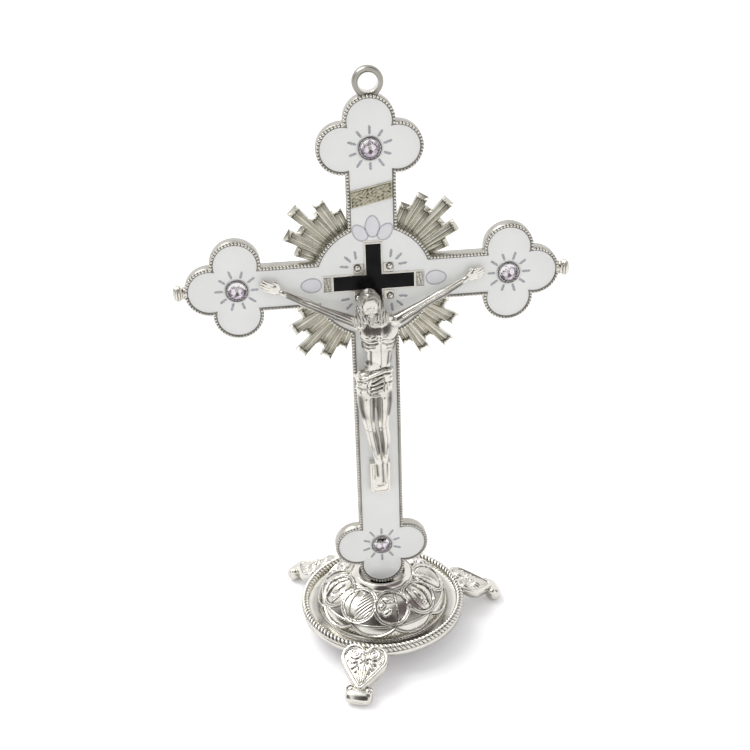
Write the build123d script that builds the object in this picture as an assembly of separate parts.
"""A standing table crucifix: a cast, enamelled cross with a figure, held by a stud on a three-footed base.

Millimetres, +Z up. The origin is on the base's axis at table height. The cross faces -Y.
"""

import os
from math import cos, radians, sin

from build123d import *

# Cross outline, from the crossing's centre
ARM_REACH = 36.1
TOP_REACH = 36.3
FOOT_REACH = 84.8
LOBE_RADIUS = 6.68
LOBE_OFFSET = 7.02
POST_WIDTH = 12.9
ARM_WIDTH = 12.4
DISC_RADIUS = 16.3

# Cross section: depths are measured back from the top of the rim
CROSS_THICKNESS = 3.4
CROSS_LEAD = 3.07
RIM_WIDTH = 1.0
CELL_DEPTH = 1.0
ENAMEL_DROP = 0.2
FILL_GAP = 0.02

# Hanging eye on the top lobe and finials on the arm ends
EYE_RADIUS = 3.95
EYE_HOLE_RADIUS = 2.35
EYE_DEPTH = 2.4
EYE_RISE = 2.8
EYE_SEAT_GAP = 0.02
FINIAL_LENGTH = 3.1
FINIAL_RADIUS = 2.2
FINIAL_NECK_RADIUS = 1.5
FINIAL_DEPTH = 1.2

# Stones and their bezels
STONE_DIAMETER = 4.7
STONE_TABLE = 0.6
STONE_CROWN = 0.95
STONE_PAVILION = 1.8
STONE_SIDES = 8
BEZEL_WALL = 0.75
BEZEL_PROUD = 0.3
GIRDLE_DROP = 0.15

# Black inlay at the crossing, its border, end caps and corner studs
INLAY_WIDTH = 4.05
INLAY_REACH = 10.7
INLAY_BORDER = 0.45
BORDER_PROUD = 0.1
CAP_LENGTH = 2.2
CORNER_PLATE = 3.3
STUD_RADIUS = 0.72
STUD_INSET = 2.2

# Petal cells round the inlay: place along the arm, half length and half width
PETAL_WALL = 0.35
TOP_PETAL_PLACE = 15.5
TOP_PETAL_LONG = 2.9
TOP_PETAL_WIDE = 1.88
SIDE_PETAL_PLACE = 16.6
SIDE_PETAL_LONG = 2.65
SIDE_PETAL_WIDE = 1.95
LEAN_PETAL_X = 3.2
LEAN_PETAL_DROP = 1.6
LEAN_PETAL_LONG = 2.5
LEAN_PETAL_WIDE = 1.7
LEAN_PETAL_ANGLE = 38.0

# Slanted plate above the crossing
TITLE_SHARE = 0.378
TITLE_TALL = 4.6
TITLE_SLANT = 12.0
TITLE_PROUD = 0.35

# Ray burst, let into the back of the cross
RAY_PLATE = 1.5
RAY_GAP = 0.02
RAY_ROOT_RADIUS = 13.0
RAY_ROOT_WIDTH = 1.5
RAY_GROOVE = 0.55
RAY_FORK = 1.1
RAY_FLARE = 0.5
CENTRE_RAY_TIP, CENTRE_RAY_WIDTH = 29.0, 2.9
NEAR_RAY_TIP, NEAR_RAY_WIDTH, NEAR_RAY_ANGLE = 23.5, 1.9, 5.9
LONG_RAY_TIP, LONG_RAY_WIDTH, LONG_RAY_ANGLE = 25.7, 2.7, 13.7
EDGE_RAY_TIP, EDGE_RAY_WIDTH, EDGE_RAY_ANGLE = 21.5, 2.0, 20.5

# Pins through the hands and feet
NAIL_RADIUS = 0.55
NAIL_HEAD_RADIUS = 0.95
NAIL_HEAD_HEIGHT = 0.6
NAIL_GAP = 0.04
HAND_INSET = 10.0
HAND_Y = 0.35
HAND_THICKNESS = 1.3
FOOT_NAIL_X = -0.2
FOOT_NAIL_Y = -57.2

# Footrest block
FOOTREST_WIDTH = 5.9
FOOTREST_TOP = -55.2
FOOTREST_BOTTOM = -65.4
FOOTREST_DEPTH = 2.0
FOOTREST_CORNER = 1.4
FEET_DEPTH = 2.3

# The figure's arms
SHOULDER_X = 5.0
ELBOW_SHARE = 0.436

# Base: radii about its axis and heights above the table
RIM_RADIUS = 24.4
SKIRT_BOTTOM = 6.9
SKIRT_TOP = 8.7
SKIRT_WALL = 1.2
BRIM_INNER_RADIUS = 22.5
DOME_RADIUS = 19.4
BRIM_HEIGHT = 8.0
BULGE_RADIUS = 17.6
BULGE_HEIGHT = 13.4
SHOULDER_RADIUS = 12.6
SHOULDER_DROP = 0.25
NECK_RADIUS = 9.5
NECK_RISE = 0.55
LIP_RADIUS = 8.0
CUP_RADIUS = 6.75
CUP_FLOOR_HEIGHT = 17.65
CUP_FLOOR = 1.35
CUP_DEPTH = 2.55
DOME_WALL = 1.1
RING_COUNT = 9
RING_START = -85.0
RING_RADIUS = 5.1
RING_WIDTH = 1.0
RING_RISE = 0.45
RING_LEAN = 52.0
RING_PLACE_RADIUS = 14.3
RING_DROP = 0.9
ROPE_RADIUS = 1.12
ROPE_RING_RADIUS = 23.65
ROPE_HEIGHT = 9.5
ROPE_GAP = 0.02
BASE_TURN = -17.5

# Feet: distances from the base's axis and heights above the table
FOOT_NAMES = ("front_foot", "right_foot", "left_foot")
HEART_RADIUS = 3.75
HEART_SPREAD = 3.15
HEART_WAIST = 4.5
FLANK_ANGLE = 66.0
HEART_PLACE = 27.3
HEART_TIP_PLACE = 35.2
HEART_TIP_WIDTH = 3.0
FOOT_TOP_HEIGHT = 10.1
FOOT_TIP_HEIGHT = 4.4
FOOT_PLATE = 2.6
FOOT_BORDER = 0.9
FOOT_PANEL = 0.5
FOOT_GAP = 0.03
TONGUE_PLACE = 20.0
TONGUE_WIDTH = 7.0
TONGUE_PLATE = 1.6
TOE_PLACE = 36.4
TOE_RADIUS = 2.35
TOE_WIDTH = 7.2
TOE_PAD_CUT = 0.12

# Stud, washer and nut that clamp the cross to the base
STUD_ROD_RADIUS = 1.5
STUD_GRIP = 8.0
STUD_HOLE_GAP = 0.1
THREAD_GAP = 0.02
BOSS_RADIUS = 3.0
BOSS_HEIGHT = 11.0
WASHER_RADIUS = 3.5
WASHER_PLATE = 0.6
NUT_ACROSS = 5.5
NUT_HEIGHT = 2.4
STUD_TAIL = 1.2

# The cross stands with its lowest lobe on the cup's floor
LOBE_END = LOBE_OFFSET + LOBE_RADIUS
CENTRE_HEIGHT = CUP_FLOOR_HEIGHT + FOOT_REACH + LOBE_END
FRONT = Plane((0, -CROSS_LEAD, CENTRE_HEIGHT), x_dir=(1, 0, 0), z_dir=(0, -1, 0))
HAND_X = ARM_REACH - HAND_INSET
LIP_HEIGHT = CUP_FLOOR_HEIGHT + CUP_DEPTH
BACK_FACE = -CROSS_THICKNESS
CELL_FLOOR = -CELL_DEPTH
ENAMEL_FACE = -ENAMEL_DROP
BORDER_FACE = ENAMEL_FACE + BORDER_PROUD
BEZEL_RADIUS = STONE_DIAMETER / 2 + BEZEL_WALL
STONE_PLACES = {
    "top": (0, TOP_REACH),
    "left": (-ARM_REACH, 0),
    "right": (ARM_REACH, 0),
    "lower": (0, -FOOT_REACH),
}
SIDES = (-1, 1)
BIG = 200.0


def slab(shape, low, high):
    """A flat shape on the cross's face, given thickness from one depth to another."""
    return Pos(0, 0, low) * extrude(shape, amount=high - low)


def rod(radius, low, high, x=0.0, y=0.0):
    """A round rod standing on the cross's face."""
    return Pos(x, y, low) * extrude(Circle(radius), amount=high - low)


def polygon(*corners):
    """A flat face with straight sides."""
    return make_face(Polyline(*corners, close=True))


def cross_outline(inset):
    """The cross's outline, drawn in by an inset: post, arms, disc and a trefoil at each end."""
    post_middle = (TOP_REACH - FOOT_REACH) / 2
    shape = Pos(0, post_middle) * Rectangle(POST_WIDTH - 2 * inset, TOP_REACH + FOOT_REACH)
    shape += Rectangle(2 * ARM_REACH, ARM_WIDTH - 2 * inset)
    shape += Circle(DISC_RADIUS - inset)
    for x, y in STONE_PLACES.values():
        shape += Pos(x, y) * Circle(BEZEL_RADIUS)
        for across, up in ((1, 0), (-1, 0), (0, 1), (0, -1)):
            if across * x + up * y >= 0:
                place = Pos(x + across * LOBE_OFFSET, y + up * LOBE_OFFSET)
                shape += place * Circle(LOBE_RADIUS - inset)
    return shape


def inlay_shape(grow):
    """The inlay's plain cross, grown by a border."""
    length = 2 * (INLAY_REACH + grow)
    width = INLAY_WIDTH + 2 * grow
    return Rectangle(length, width) + Rectangle(width, length)


def inlay_border_shape(grow):
    """The metal round the inlay: border, end caps and the plates that carry the corner studs."""
    reach = INLAY_REACH + CAP_LENGTH
    width = INLAY_WIDTH + 2 * INLAY_BORDER
    corner = CORNER_PLATE + INLAY_WIDTH / 2
    shape = inlay_shape(INLAY_BORDER + grow)
    shape += Rectangle(2 * (reach + grow), width + 2 * grow)
    shape += Pos(0, reach / 2) * Rectangle(width + 2 * grow, reach + 2 * grow)
    shape += Rectangle(2 * (corner + grow), 2 * (corner + grow))
    return shape


def petal_places():
    """Each petal's place on the face, half length, half width and turn; the leaning pair comes last."""
    top = (Pos(0, TOP_PETAL_PLACE), TOP_PETAL_LONG, TOP_PETAL_WIDE, 90)
    sides = [(Pos(s * SIDE_PETAL_PLACE, 0), SIDE_PETAL_LONG, SIDE_PETAL_WIDE, 0) for s in SIDES]
    lean_y = TOP_PETAL_PLACE - LEAN_PETAL_DROP
    lean = [
        (Pos(s * LEAN_PETAL_X, lean_y), LEAN_PETAL_LONG, LEAN_PETAL_WIDE, 90 - s * LEAN_PETAL_ANGLE)
        for s in SIDES
    ]
    return [top, *sides, *lean]


def petal_shapes(grow):
    """The petals' ovals, grown or drawn in: upright, left, right and the leaning pair."""
    return [
        place * Rot(0, 0, turn) * Ellipse(long + grow, wide + grow)
        for place, long, wide, turn in petal_places()
    ]


def petal_cells(inset):
    """The hollow of each petal, clear of the metal border and of the upright petal's wall."""
    upright, left, right, *lean = petal_shapes(-inset)
    upright_wall = petal_shapes(inset)[0]
    border = inlay_border_shape(inset)
    cells = [upright - border, left - border, right - border]
    cells += [oval - upright_wall - border for oval in lean]
    return cells


def petal_walls():
    """The thin metal outline of the petals."""
    half = PETAL_WALL / 2
    walls = Sketch()
    for oval in petal_shapes(half):
        walls += oval
    for cell in petal_cells(half):
        walls -= cell
    return walls


def title_shape(grow):
    """The slanted plate's outline: upright ends and sloping long sides."""
    half = POST_WIDTH / 2 - RIM_WIDTH - FILL_GAP + grow
    tall = TITLE_TALL / 2 + grow
    rise = half * sin(radians(TITLE_SLANT)) / cos(radians(TITLE_SLANT))
    corners = [(-half, -rise - tall), (half, rise - tall), (half, rise + tall), (-half, tall - rise)]
    petal_tip = TOP_PETAL_PLACE + TOP_PETAL_LONG + PETAL_WALL / 2
    free = TOP_REACH - BEZEL_RADIUS - petal_tip
    return Pos(0, petal_tip + free * TITLE_SHARE) * polygon(*corners)


def nail_places():
    """Each pin's place on the face and the depth at which its head sits."""
    hand = ENAMEL_FACE + HAND_THICKNESS
    foot = ENAMEL_FACE + FOOTREST_DEPTH + FEET_DEPTH
    return {
        "left_hand_nail": (-HAND_X, HAND_Y, hand),
        "right_hand_nail": (HAND_X, HAND_Y, hand),
        "foot_nail": (FOOT_NAIL_X, FOOT_NAIL_Y, foot),
    }


def nail_holes(low, high):
    """Holes for all the pins."""
    return [rod(NAIL_RADIUS + NAIL_GAP, low, high, x, y) for x, y, _ in nail_places().values()]


def stone():
    """A cut stone, its girdle at depth 0: a faceted crown with a flat table over a pointed pavilion."""
    radius = STONE_DIAMETER / 2
    girdle = RegularPolygon(radius, STONE_SIDES)
    table = RegularPolygon(radius * STONE_TABLE, STONE_SIDES, rotation=180 / STONE_SIDES)
    culet = RegularPolygon(radius * STONE_TABLE / 4, STONE_SIDES)
    crown = loft([girdle, Pos(0, 0, STONE_CROWN) * table], ruled=True)
    pavilion = loft([girdle, Pos(0, 0, -STONE_PAVILION) * culet], ruled=True)
    return crown + pavilion


def stone_seat():
    """The hollow that a stone drops into, measured from the girdle's depth."""
    radius = STONE_DIAMETER / 2 + FILL_GAP
    point = STONE_DIAMETER / 2 * STONE_TABLE / 4 + FILL_GAP
    depth = STONE_PAVILION + FILL_GAP
    cone = Pos(0, 0, -depth / 2) * Cone(point, radius, depth)
    return cone + rod(radius, 0, GIRDLE_DROP + BEZEL_PROUD + STONE_CROWN)


def finial():
    """A turned knob on an arm's end, along +X from the lobe's edge."""
    start = -LOBE_RADIUS / 4
    swell = FINIAL_LENGTH / 2
    profile = Polyline((FINIAL_LENGTH, 0), (start, 0), (start, FINIAL_NECK_RADIUS), (0, FINIAL_NECK_RADIUS))
    profile += ThreePointArc((0, FINIAL_NECK_RADIUS), (swell, FINIAL_RADIUS), (FINIAL_LENGTH, 0))
    return revolve(make_face(profile), Axis.X)


def cross_casting():
    """The cast cross with its rim, cells, bezels, inlay border, finials and screw boss."""
    body = slab(cross_outline(0), BACK_FACE, 0)
    boss = Cylinder(BOSS_RADIUS, BOSS_HEIGHT, rotation=(90, 0, 0))
    boss = Pos(0, BOSS_HEIGHT / 2 - FOOT_REACH - LOBE_END, -CROSS_LEAD) * boss
    body += boss - Pos(0, 0, BIG / 2 + BACK_FACE / 2) * Box(BIG, 2 * BIG, BIG)
    for side, turn in ((1, 0), (-1, 180)):
        place = Pos(side * (ARM_REACH + LOBE_END), 0, -FINIAL_DEPTH) * Rot(0, turn, 0)
        body += place * finial()
    body -= slab(cross_outline(RIM_WIDTH), CELL_FLOOR, FINIAL_RADIUS)
    body += slab(inlay_border_shape(0) - inlay_shape(0), CELL_FLOOR, BORDER_FACE)
    body += slab(petal_walls(), CELL_FLOOR, ENAMEL_FACE)
    stud_place = INLAY_WIDTH / 2 + STUD_INSET
    for x in SIDES:
        for y in SIDES:
            body += Pos(x * stud_place, y * stud_place, BORDER_FACE) * Sphere(STUD_RADIUS, arc_size1=0)
    for x, y in STONE_PLACES.values():
        body += rod(BEZEL_RADIUS, CELL_FLOOR, BEZEL_PROUD, x, y)
        body -= Pos(x, y, -GIRDLE_DROP) * stone_seat()
    body -= rod(DISC_RADIUS + RAY_GAP, BACK_FACE, BACK_FACE + RAY_PLATE + RAY_GAP)
    for hole in nail_holes(BACK_FACE, BEZEL_PROUD):
        body -= hole
    stud_hole = Cylinder(STUD_ROD_RADIUS + THREAD_GAP, STUD_GRIP + THREAD_GAP, rotation=(90, 0, 0))
    stud_middle = (STUD_GRIP + THREAD_GAP) / 2 - FOOT_REACH - LOBE_END
    body -= Pos(0, stud_middle, -CROSS_LEAD) * stud_hole
    return body


def hanging_eye():
    """The ring on the top lobe, with a foot that saddles the lobe's edge."""
    top = TOP_REACH + LOBE_END
    middle = top + EYE_RISE
    depth = BACK_FACE / 2
    low = depth - EYE_DEPTH / 2
    high = depth + EYE_DEPTH / 2
    ring = rod(EYE_RADIUS, low, high, 0, middle)
    ring = fillet(ring.edges(), EYE_DEPTH / 4)
    lobe = rod(LOBE_RADIUS + EYE_SEAT_GAP, BACK_FACE - 1, 1, 0, TOP_REACH + LOBE_OFFSET)
    return ring - lobe - rod(EYE_HOLE_RADIUS, low - 1, high + 1, 0, middle)


def white_enamel():
    """The white fill, with room for everything that stands in it."""
    shape = cross_outline(RIM_WIDTH + FILL_GAP) - inlay_border_shape(FILL_GAP) - title_shape(FILL_GAP)
    for oval in petal_shapes(PETAL_WALL / 2 + FILL_GAP):
        shape -= oval
    for x, y in STONE_PLACES.values():
        shape -= Pos(x, y) * Circle(BEZEL_RADIUS + FILL_GAP)
    body = slab(shape, CELL_FLOOR, ENAMEL_FACE)
    for hole in nail_holes(CELL_FLOOR - 1, 1):
        body -= hole
    return body


def black_enamel_cross():
    """The black inlay, level with the white."""
    return slab(inlay_shape(-FILL_GAP), CELL_FLOOR, ENAMEL_FACE)


def petal_enamel():
    """The petals' fills, one solid each."""
    cells = petal_cells(PETAL_WALL / 2 + FILL_GAP)
    return Compound([slab(cell, CELL_FLOOR, ENAMEL_FACE).solid() for cell in cells])


def title_plate():
    """The bare slanted plate, standing on the cell's floor."""
    return slab(title_shape(0), CELL_FLOOR, ENAMEL_FACE + TITLE_PROUD)


def ray(tip, width):
    """One ray along +X: a tapering bar with a V groove and a forked, flared tip."""
    root = RAY_ROOT_WIDTH / 2
    half = width / 2
    waist = half - RAY_FLARE * half / width
    neck = tip - RAY_FORK
    corners = [(RAY_ROOT_RADIUS, -root), (neck, -waist), (tip, -half), (neck, 0)]
    corners += [(tip, half), (neck, waist), (RAY_ROOT_RADIUS, root)]
    bar = slab(polygon(*corners), 0, RAY_PLATE)
    groove_low = Plane((DISC_RADIUS, 0, RAY_PLATE), x_dir=(0, 1, 0), z_dir=(1, 0, 0))
    groove_high = Plane((tip + 1, 0, RAY_PLATE), x_dir=(0, 1, 0), z_dir=(1, 0, 0))
    start = groove_low * polygon((-root / 2, 0), (root / 2, 0), (0, -RAY_GROOVE / 2))
    end = groove_high * polygon((-half, 0), (half, 0), (0, -RAY_GROOVE))
    return bar - loft([start, end], ruled=True)


def ray_burst():
    """A hub disc let into the cross's back, with a sheaf of rays in each quarter."""
    body = rod(DISC_RADIUS, 0, RAY_PLATE)
    sheaf = [(0, CENTRE_RAY_TIP, CENTRE_RAY_WIDTH)]
    for side in SIDES:
        sheaf.append((side * NEAR_RAY_ANGLE, NEAR_RAY_TIP, NEAR_RAY_WIDTH))
        sheaf.append((side * LONG_RAY_ANGLE, LONG_RAY_TIP, LONG_RAY_WIDTH))
        sheaf.append((side * EDGE_RAY_ANGLE, EDGE_RAY_TIP, EDGE_RAY_WIDTH))
    rays = [Rot(0, 0, angle) * ray(tip, width) for angle, tip, width in sheaf]
    quarters = [Rot(0, 0, 45 + 90 * quarter) * bar for quarter in range(4) for bar in rays]
    bars = Rectangle(BIG, ARM_WIDTH + 2 * RAY_GAP) + Rectangle(POST_WIDTH + 2 * RAY_GAP, BIG)
    room = slab(bars + Circle(DISC_RADIUS - RAY_GAP), -1, RAY_PLATE + 1)
    return Pos(0, 0, BACK_FACE) * (body + [bar - room for bar in quarters])


def nail(head_depth):
    """A pin with a domed head, reaching from its head to the cross's back face."""
    shank = rod(NAIL_RADIUS, BACK_FACE, head_depth)
    dome_radius = (NAIL_HEAD_RADIUS**2 + NAIL_HEAD_HEIGHT**2) / (2 * NAIL_HEAD_HEIGHT)
    dome = Pos(0, 0, head_depth + NAIL_HEAD_HEIGHT - dome_radius) * Sphere(dome_radius)
    return shank + (dome & rod(BIG, head_depth, BIG))


def footrest():
    """The block behind and under the feet, rounded at its foot."""
    middle = (FOOTREST_TOP + FOOTREST_BOTTOM) / 2
    block = Pos(0, middle) * Rectangle(FOOTREST_WIDTH, FOOTREST_TOP - FOOTREST_BOTTOM)
    low_corners = block.vertices().group_by(Axis.Y)[0]
    block = fillet(low_corners, FOOTREST_CORNER)
    body = slab(block, ENAMEL_FACE, ENAMEL_FACE + FOOTREST_DEPTH)
    x, y, _ = nail_places()["foot_nail"]
    return body - rod(NAIL_RADIUS + NAIL_GAP, BACK_FACE, BIG, x, y)


def limb(*stations):
    """A rounded limb lofted through stations of centre, half width and half depth, square to its run."""
    centres = [Vector(*centre) for centre, _, _ in stations]
    faces = []
    for index, (_, wide, deep) in enumerate(stations):
        before = centres[max(index - 1, 0)]
        after = centres[min(index + 1, len(centres) - 1)]
        run = (after - before).normalized()
        plane = Plane(centres[index], x_dir=Vector(0, 0, 1).cross(run), z_dir=run)
        faces.append(plane * Ellipse(wide, deep))
    return loft(faces)


def egg(centre, radius, half_length, lean=(0, 0, 0)):
    """An egg-shaped mass of the figure, upright unless it leans."""
    oval = Ellipse(radius, half_length) & Pos(radius, 0) * Rectangle(2 * radius, 4 * half_length)
    return Pos(*centre) * Rot(*lean) * revolve(oval, Axis.Y)


def between(start, end, share):
    """A point part of the way from one point to another."""
    return tuple(a + (b - a) * share for a, b in zip(start, end))


def figure_arm(side, shoulder_y, elbow_y):
    """An arm raised to the hand's pin, with a flat open hand and a thumb."""
    palm = ENAMEL_FACE + HAND_THICKNESS / 2
    shoulder = (side * SHOULDER_X, shoulder_y, 4.1)
    elbow = (side * (SHOULDER_X + (HAND_X - SHOULDER_X) * ELBOW_SHARE), elbow_y, 2.7)
    wrist = (side * (HAND_X - 1.9), HAND_Y - 0.95, palm + 0.25)
    arm = limb(
        ((side * SHOULDER_X / 2, shoulder_y - 1.0, 4.3), 1.6, 1.6),
        (shoulder, 1.8, 1.7),
        (between(shoulder, elbow, 0.46), 1.55, 1.4),
        (elbow, 1.2, 1.15),
        (between(elbow, wrist, 0.3), 1.3, 1.15),
        (wrist, 0.85, HAND_THICKNESS / 2),
        ((side * HAND_X, HAND_Y, palm), 1.4, HAND_THICKNESS / 2),
        ((side * (HAND_X + 1.6), HAND_Y + 0.75, palm), 1.25, HAND_THICKNESS / 2),
        ((side * (HAND_X + 3.6), HAND_Y + 1.7, palm - 0.1), 0.8, HAND_THICKNESS / 3),
    )
    thumb = limb(
        ((side * (HAND_X - 0.6), HAND_Y + 0.5, palm), 0.5, 0.4),
        ((side * (HAND_X + 1.5), HAND_Y + 2.0, palm + 0.1), 0.35, 0.32),
    )
    return [arm, thumb]


def figure_leg(hip, knee, ankle, toe):
    """A leg from hip to toe, drawn together at the ankle."""
    return limb(
        (hip, 2.6, 2.5),
        (between(hip, knee, 0.5), 2.35, 2.3),
        (knee, 1.8, 1.85),
        (between(knee, ankle, 0.3), 1.75, 1.65),
        (ankle, 1.05, 1.05),
        (between(ankle, toe, 0.2), 1.25, 1.1),
        (between(ankle, toe, 0.6), 1.5, 0.85),
        (toe, 1.1, 0.5),
    )


def figure_head():
    """A bowed head with long hair to the shoulders and a short beard."""
    skull = egg((-1.6, -3.9, 6.0), 3.2, 3.9, (28, 0, 8))
    nose = limb(((-1.7, -3.3, 8.6), 0.4, 0.35), ((-1.8, -4.9, 9.7), 0.6, 0.45))
    beard = limb(
        ((-1.7, -5.2, 8.0), 1.9, 1.5),
        ((-1.8, -7.2, 8.5), 1.4, 1.2),
        ((-1.8, -8.8, 8.2), 0.4, 0.5),
    )
    neck = limb(((-1.4, -5.0, 5.6), 1.7, 1.6), ((-0.3, -10.2, 4.5), 2.1, 1.8))
    locks = [
        limb(
            ((-1.6 + side * 1.7, -2.6, 5.4), 1.5, 2.0),
            ((-1.7 + side * 3.0, -6.0, 6.0), 1.35, 1.7),
            ((-1.4 + side * 3.0, -9.8, 5.9), 0.6, 0.7),
        )
        for side in SIDES
    ]
    return [skull, nose, beard, neck, *locks]


def figure_body():
    """Chest, ribs, waist and hips, with the wrapped cloth and its knot."""
    trunk = limb(
        ((0.1, -8.6, 4.4), 3.0, 1.6),
        ((0.1, -10.6, 4.3), 5.0, 2.2),
        ((0.0, -13.6, 4.4), 5.05, 2.65),
        ((-0.1, -17.6, 4.5), 4.3, 2.35),
        ((-0.1, -20.4, 4.3), 3.4, 1.9),
        ((-0.6, -23.4, 4.1), 4.2, 2.2),
        ((-1.2, -27.0, 4.0), 4.9, 2.4),
    )
    cloth = limb(
        ((-0.9, -23.2, 4.1), 4.7, 2.5),
        ((-1.1, -26.0, 4.1), 5.3, 2.9),
        ((-1.2, -29.0, 4.3), 5.5, 3.2),
        ((-1.3, -31.0, 4.5), 5.35, 3.1),
    )
    roll = limb(
        ((-5.8, -26.2, 5.0), 0.7, 0.7),
        ((-1.0, -25.2, 6.8), 0.9, 0.8),
        ((3.5, -23.4, 5.2), 0.7, 0.7),
    )
    knot = egg((-0.4, -27.7, 6.6), 1.5, 2.6, (0, 0, -66))
    chest = [egg((side * 2.3, -12.6, 5.4), 1.75, 2.4, (0, 0, side * 80)) for side in SIDES]
    ribs = [
        limb(
            ((side * 0.5, -15.2 - row * 1.15, 6.75), 0.4, 0.35),
            ((side * 2.6, -15.6 - row * 1.3, 6.2), 0.45, 0.4),
            ((side * 4.0, -15.4 - row * 1.3, 5.0), 0.35, 0.35),
        )
        for side in SIDES
        for row in range(3)
    ]
    return [trunk, cloth, roll, knot, *chest, *ribs]


def corpus():
    """The cast figure, trimmed flat where it lies on the enamel and the footrest."""
    rest = ENAMEL_FACE + FOOTREST_DEPTH
    feet = rest + FEET_DEPTH / 2
    near_leg = figure_leg((-3.3, -27.5, 4.0), (-2.9, -39.6, 5.6), (-0.6, -53.6, feet), (-0.7, -61.8, feet))
    far_leg = figure_leg((1.0, -27.5, 4.0), (1.1, -39.0, 5.4), (1.2, -53.6, feet), (1.0, -61.4, feet))
    masses = [*figure_body(), *figure_head(), near_leg, far_leg]
    masses += figure_arm(-1, -9.9, -5.6) + figure_arm(1, -9.6, -5.2)
    body = masses[0]
    for mass in masses[1:]:
        body += mass
    body -= Pos(0, 0, -BIG / 2 + ENAMEL_FACE + FILL_GAP) * Box(BIG, 2 * BIG, BIG)
    block_top = Pos(0, FOOTREST_TOP + FILL_GAP - BIG / 2, rest + FILL_GAP - BIG / 2) * Box(BIG, BIG, BIG)
    body -= block_top
    for x, y, head in nail_places().values():
        body -= rod(NAIL_RADIUS + NAIL_GAP, BACK_FACE, BIG, x, y)
        body -= rod(NAIL_HEAD_RADIUS + NAIL_GAP, head, BIG, x, y)
    return body


def dome_line(rise):
    """The dome's outer line from its foot to its lip, moved outwards by a rise."""
    foot = (DOME_RADIUS + rise, BRIM_HEIGHT)
    bulge = (BULGE_RADIUS + rise * cos(radians(RING_LEAN)), BULGE_HEIGHT + rise * sin(radians(RING_LEAN)))
    shoulder = (SHOULDER_RADIUS + rise / 3, CUP_FLOOR_HEIGHT - SHOULDER_DROP + rise)
    neck = (NECK_RADIUS + rise / 2, CUP_FLOOR_HEIGHT + NECK_RISE + rise)
    lip = (LIP_RADIUS + rise, LIP_HEIGHT)
    return ThreePointArc(foot, bulge, shoulder) + ThreePointArc(shoulder, neck, lip)


def dome_rings():
    """Raised rings side by side round the dome, each a tube cut to a thin layer of the dome."""
    outer = dome_line(RING_RISE)
    inner = dome_line(-DOME_WALL / 2)
    ends = [Line(inner @ 0, outer @ 0), Line(inner @ 1, outer @ 1)]
    layer = revolve(Plane.XZ * make_face(outer + inner + ends), Axis.Z)
    half = RING_WIDTH / 2
    tube = Cylinder(RING_RADIUS + half, 2 * RING_RADIUS) - Cylinder(RING_RADIUS - half, 2 * RING_RADIUS)
    middle = Pos(RING_PLACE_RADIUS, 0, CUP_FLOOR_HEIGHT - RING_DROP)
    tube = middle * Rot(0, 90 - RING_LEAN, 0) * tube
    tubes = [Rot(0, 0, RING_START + 360 * index / RING_COUNT) * tube for index in range(RING_COUNT)]
    return [layer & one for one in tubes]


def base_dome():
    """The cast base: a skirted brim, a domed shell with raised rings, a flared neck and a cup."""
    hole = STUD_ROD_RADIUS + STUD_HOLE_GAP
    under = CUP_FLOOR_HEIGHT - CUP_FLOOR
    inner_shoulder = (SHOULDER_RADIUS - DOME_WALL, under)
    inner_bulge = (BULGE_RADIUS - DOME_WALL, BULGE_HEIGHT - DOME_WALL / 2)
    inner_foot = (DOME_RADIUS - DOME_WALL, BRIM_HEIGHT - DOME_WALL / 2)
    skirt_inner = RIM_RADIUS - SKIRT_WALL
    brim_under = BRIM_HEIGHT - DOME_WALL / 2
    brim_middle = ((BRIM_INNER_RADIUS + DOME_RADIUS) / 2, BRIM_HEIGHT + (SKIRT_TOP - BRIM_HEIGHT) / 4)
    profile = Polyline((skirt_inner, SKIRT_BOTTOM), (RIM_RADIUS, SKIRT_BOTTOM), (RIM_RADIUS, SKIRT_TOP))
    profile += Line((RIM_RADIUS, SKIRT_TOP), (BRIM_INNER_RADIUS, SKIRT_TOP))
    profile += ThreePointArc((BRIM_INNER_RADIUS, SKIRT_TOP), brim_middle, (DOME_RADIUS, BRIM_HEIGHT))
    profile += dome_line(0)
    profile += Polyline(
        (LIP_RADIUS, LIP_HEIGHT),
        (CUP_RADIUS, LIP_HEIGHT),
        (CUP_RADIUS, CUP_FLOOR_HEIGHT),
        (hole, CUP_FLOOR_HEIGHT),
        (hole, under),
        inner_shoulder,
    )
    profile += ThreePointArc(inner_shoulder, inner_bulge, inner_foot)
    profile += Polyline(inner_foot, (skirt_inner, brim_under), (skirt_inner, SKIRT_BOTTOM))
    body = revolve(Plane.XZ * make_face(profile), Axis.Z)
    for ring in dome_rings():
        body += ring
    return body - Pos(0, 0, ROPE_HEIGHT) * Torus(ROPE_RING_RADIUS, ROPE_RADIUS + ROPE_GAP)


def rope_rim():
    """The rope moulding seated in the top of the skirt."""
    return Pos(0, 0, ROPE_HEIGHT) * Torus(ROPE_RING_RADIUS, ROPE_RADIUS)


def heart_shape(inset):
    """A foot's heart in plan, along +X: two round shoulders drawn out to a narrow tip."""
    radius = HEART_RADIUS - inset
    tip = (HEART_TIP_PLACE, HEART_TIP_WIDTH / 2 - inset)
    waist = ((HEART_PLACE + HEART_TIP_PLACE) / 2, HEART_WAIST - inset)
    flank_x = HEART_PLACE + radius * cos(radians(FLANK_ANGLE))
    flank = (flank_x, HEART_SPREAD + radius * sin(radians(FLANK_ANGLE)))
    half = ThreePointArc(flank, waist, tip)
    half += Polyline(tip, (tip[0], 0), (HEART_PLACE, 0), (HEART_PLACE, HEART_SPREAD), flank)
    half = make_face(half) + Pos(HEART_PLACE, HEART_SPREAD) * Circle(radius)
    return half + mirror(half, Plane.XZ)


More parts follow.
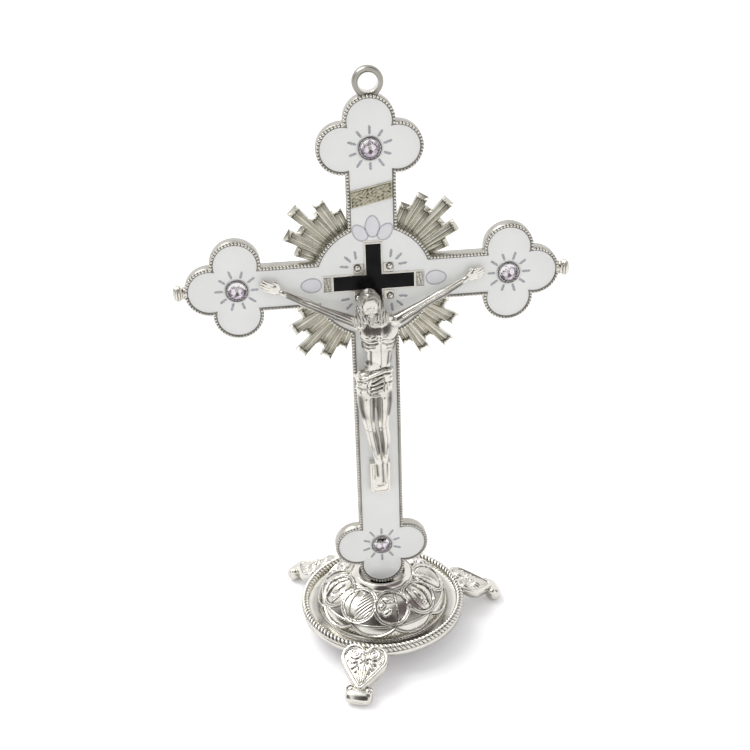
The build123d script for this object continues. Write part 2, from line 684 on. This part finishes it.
def foot():
    """A foot along +X: a sloping, bordered heart plate, a toe scroll and a tongue under the skirt."""
    side_on = Plane((0, BIG / 2, 0), x_dir=(1, 0, 0), z_dir=(0, -1, 0))
    root = HEART_PLACE - HEART_RADIUS
    top_line = [(root, FOOT_TOP_HEIGHT), (TOE_PLACE, FOOT_TIP_HEIGHT)]
    low_line = [(TOE_PLACE, FOOT_TIP_HEIGHT - FOOT_PLATE), (root, FOOT_TOP_HEIGHT - FOOT_PLATE - 1)]
    wedge = extrude(side_on * polygon(*top_line, *low_line), amount=BIG)
    plate = extrude(heart_shape(0), amount=BIG) & wedge
    panel_top = [(x, z - FOOT_PANEL) for x, z in top_line]
    above = extrude(side_on * polygon(*panel_top, (TOE_PLACE, BIG), (root, BIG)), amount=BIG)
    plate -= extrude(heart_shape(FOOT_BORDER), amount=BIG) & above
    tongue_length = HEART_PLACE - TONGUE_PLACE
    tongue = Pos(TONGUE_PLACE + tongue_length / 2, 0, SKIRT_BOTTOM - TONGUE_PLATE / 2)
    tongue *= Box(tongue_length, TONGUE_WIDTH, TONGUE_PLATE)
    centre = TOE_RADIUS - TOE_PAD_CUT
    toe = Pos(TOE_PLACE, 0, centre) * Cylinder(TOE_RADIUS, TOE_WIDTH, rotation=(90, 0, 0))
    body = plate + tongue + toe
    body -= Pos(0, 0, SKIRT_BOTTOM + BIG / 2) * Cylinder(RIM_RADIUS + FOOT_GAP, BIG)
    rope = Pos(0, 0, ROPE_HEIGHT) * Torus(ROPE_RING_RADIUS, ROPE_RADIUS + FOOT_GAP)
    return body - rope - Pos(0, 0, -BIG / 2) * Box(BIG, BIG, BIG)


def foot_stud():
    """The stud from the cross's boss down through the cup's floor, past the nut."""
    low = CUP_FLOOR_HEIGHT - CUP_FLOOR - WASHER_PLATE - NUT_HEIGHT - STUD_TAIL
    return Pos(0, 0, low) * extrude(Circle(STUD_ROD_RADIUS), amount=CUP_FLOOR_HEIGHT + STUD_GRIP - low)


def clamp_washer():
    """A flat washer against the cup floor's underside."""
    ring = Circle(WASHER_RADIUS) - Circle(STUD_ROD_RADIUS + STUD_HOLE_GAP)
    return Pos(0, 0, CUP_FLOOR_HEIGHT - CUP_FLOOR) * extrude(ring, amount=-WASHER_PLATE)


def clamp_nut():
    """A hexagon nut under the washer."""
    across_corners = NUT_ACROSS / 2 / cos(radians(30))
    ring = RegularPolygon(across_corners, 6) - Circle(STUD_ROD_RADIUS + THREAD_GAP)
    return Pos(0, 0, CUP_FLOOR_HEIGHT - CUP_FLOOR - WASHER_PLATE) * extrude(ring, amount=-NUT_HEIGHT)


def cross_pieces():
    """Every piece that is laid out on the cross's face, by name."""
    pieces = {
        "cross_casting": cross_casting(),
        "hanging_eye": hanging_eye(),
        "white_enamel": white_enamel(),
        "black_enamel_cross": black_enamel_cross(),
        "petal_enamel": petal_enamel(),
        "title_plate": title_plate(),
        "ray_burst": ray_burst(),
        "footrest": footrest(),
        "corpus": corpus(),
    }
    for name, (x, y) in STONE_PLACES.items():
        pieces[f"{name}_stone"] = Pos(x, y, -GIRDLE_DROP) * stone()
    for name, (x, y, depth) in nail_places().items():
        pieces[name] = Pos(x, y, 0) * nail(depth)
    return pieces


def base_pieces():
    """Every piece of the base and its clamp, by name, already in place."""
    pieces = {
        "base_dome": base_dome(),
        "rope_rim": rope_rim(),
        "foot_stud": foot_stud(),
        "clamp_washer": clamp_washer(),
        "clamp_nut": clamp_nut(),
    }
    for index, name in enumerate(FOOT_NAMES):
        pieces[name] = Rot(0, 0, BASE_TURN - 90 + index * 360 / len(FOOT_NAMES)) * foot()
    return pieces


def main():
    """Write one STEP file for each piece."""
    os.makedirs("parts", exist_ok=True)
    placed = {name: FRONT.location * piece for name, piece in cross_pieces().items()}
    for name, piece in {**placed, **base_pieces()}.items():
        export_step(piece, f"parts/{name}.step")


main()
